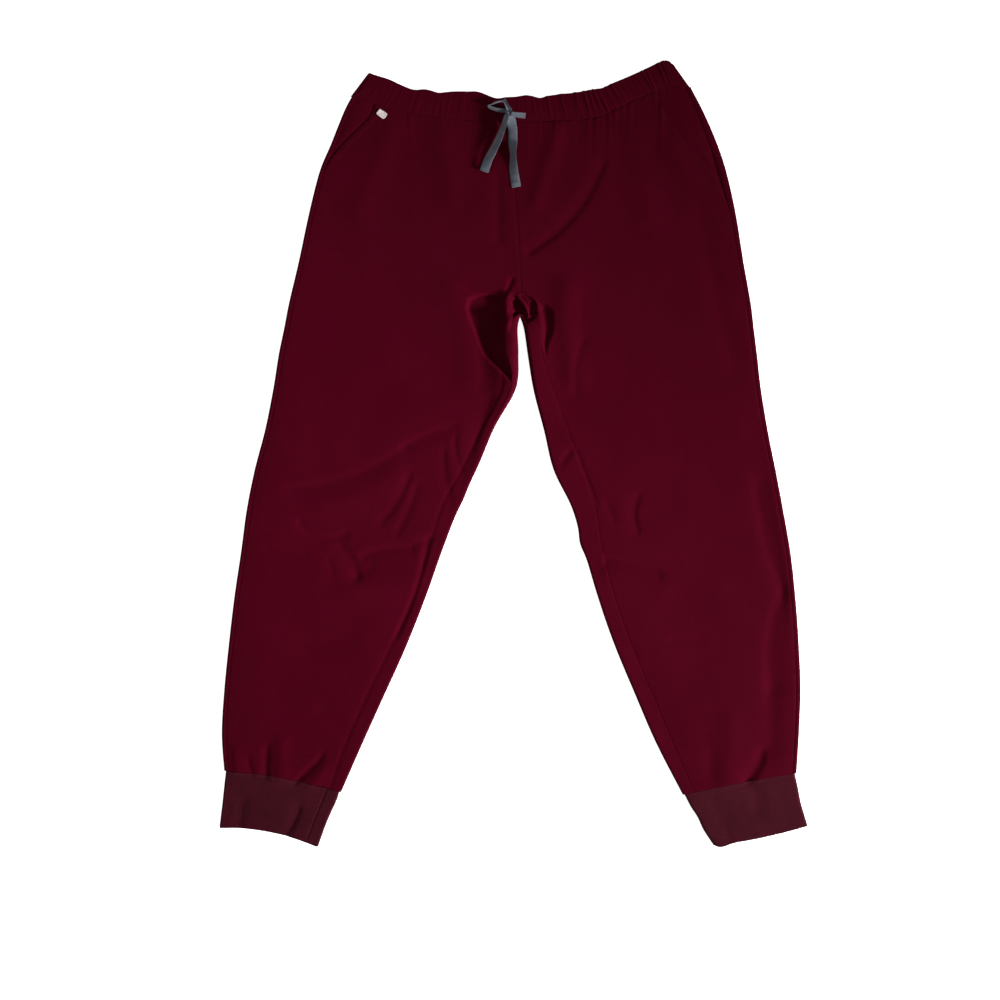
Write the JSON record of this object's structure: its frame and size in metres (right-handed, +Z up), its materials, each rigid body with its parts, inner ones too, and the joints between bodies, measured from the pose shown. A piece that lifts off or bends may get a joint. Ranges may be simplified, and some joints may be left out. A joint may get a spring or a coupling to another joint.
{
  "type": "medical scrub trousers",
  "caption": "Jogger style scrub trousers laid flat, with a gathered drawstring waistband, slanted side pockets and ribbed ankle cuffs.",
  "frame": {"origin": "on the surface that the trousers lie on, below the middle of their outline", "axes": "+Z up from the surface, +Y from the cuffs to the waistband, +X to the wearer's left, which is the right of a view from above"},
  "size_m": [0.732, 0.9801, 0.0177],
  "materials": {
    "cloth": "matt woven stretch cloth, wine red",
    "rib": "rib knit, duller wine red",
    "tape": "flat woven tape, slate grey",
    "patch": "plain pale woven oblong"
  },
  "bodies": {
    "root": {"front_right": "cloth", "front_left": "cloth", "back_right": "cloth", "back_left": "cloth", "pocket_facing_right": "cloth", "pocket_facing_left": "cloth", "waistband_front": "cloth", "waistband_back": "cloth", "cuff_right": "rib", "cuff_left": "rib", "drawstring_knot": "tape", "drawstring_loop_short": "tape", "drawstring_loop_long": "tape", "drawstring_tail_long": "tape", "drawstring_tail_short": "tape", "patch": "patch"}
  },
  "joints": []
}
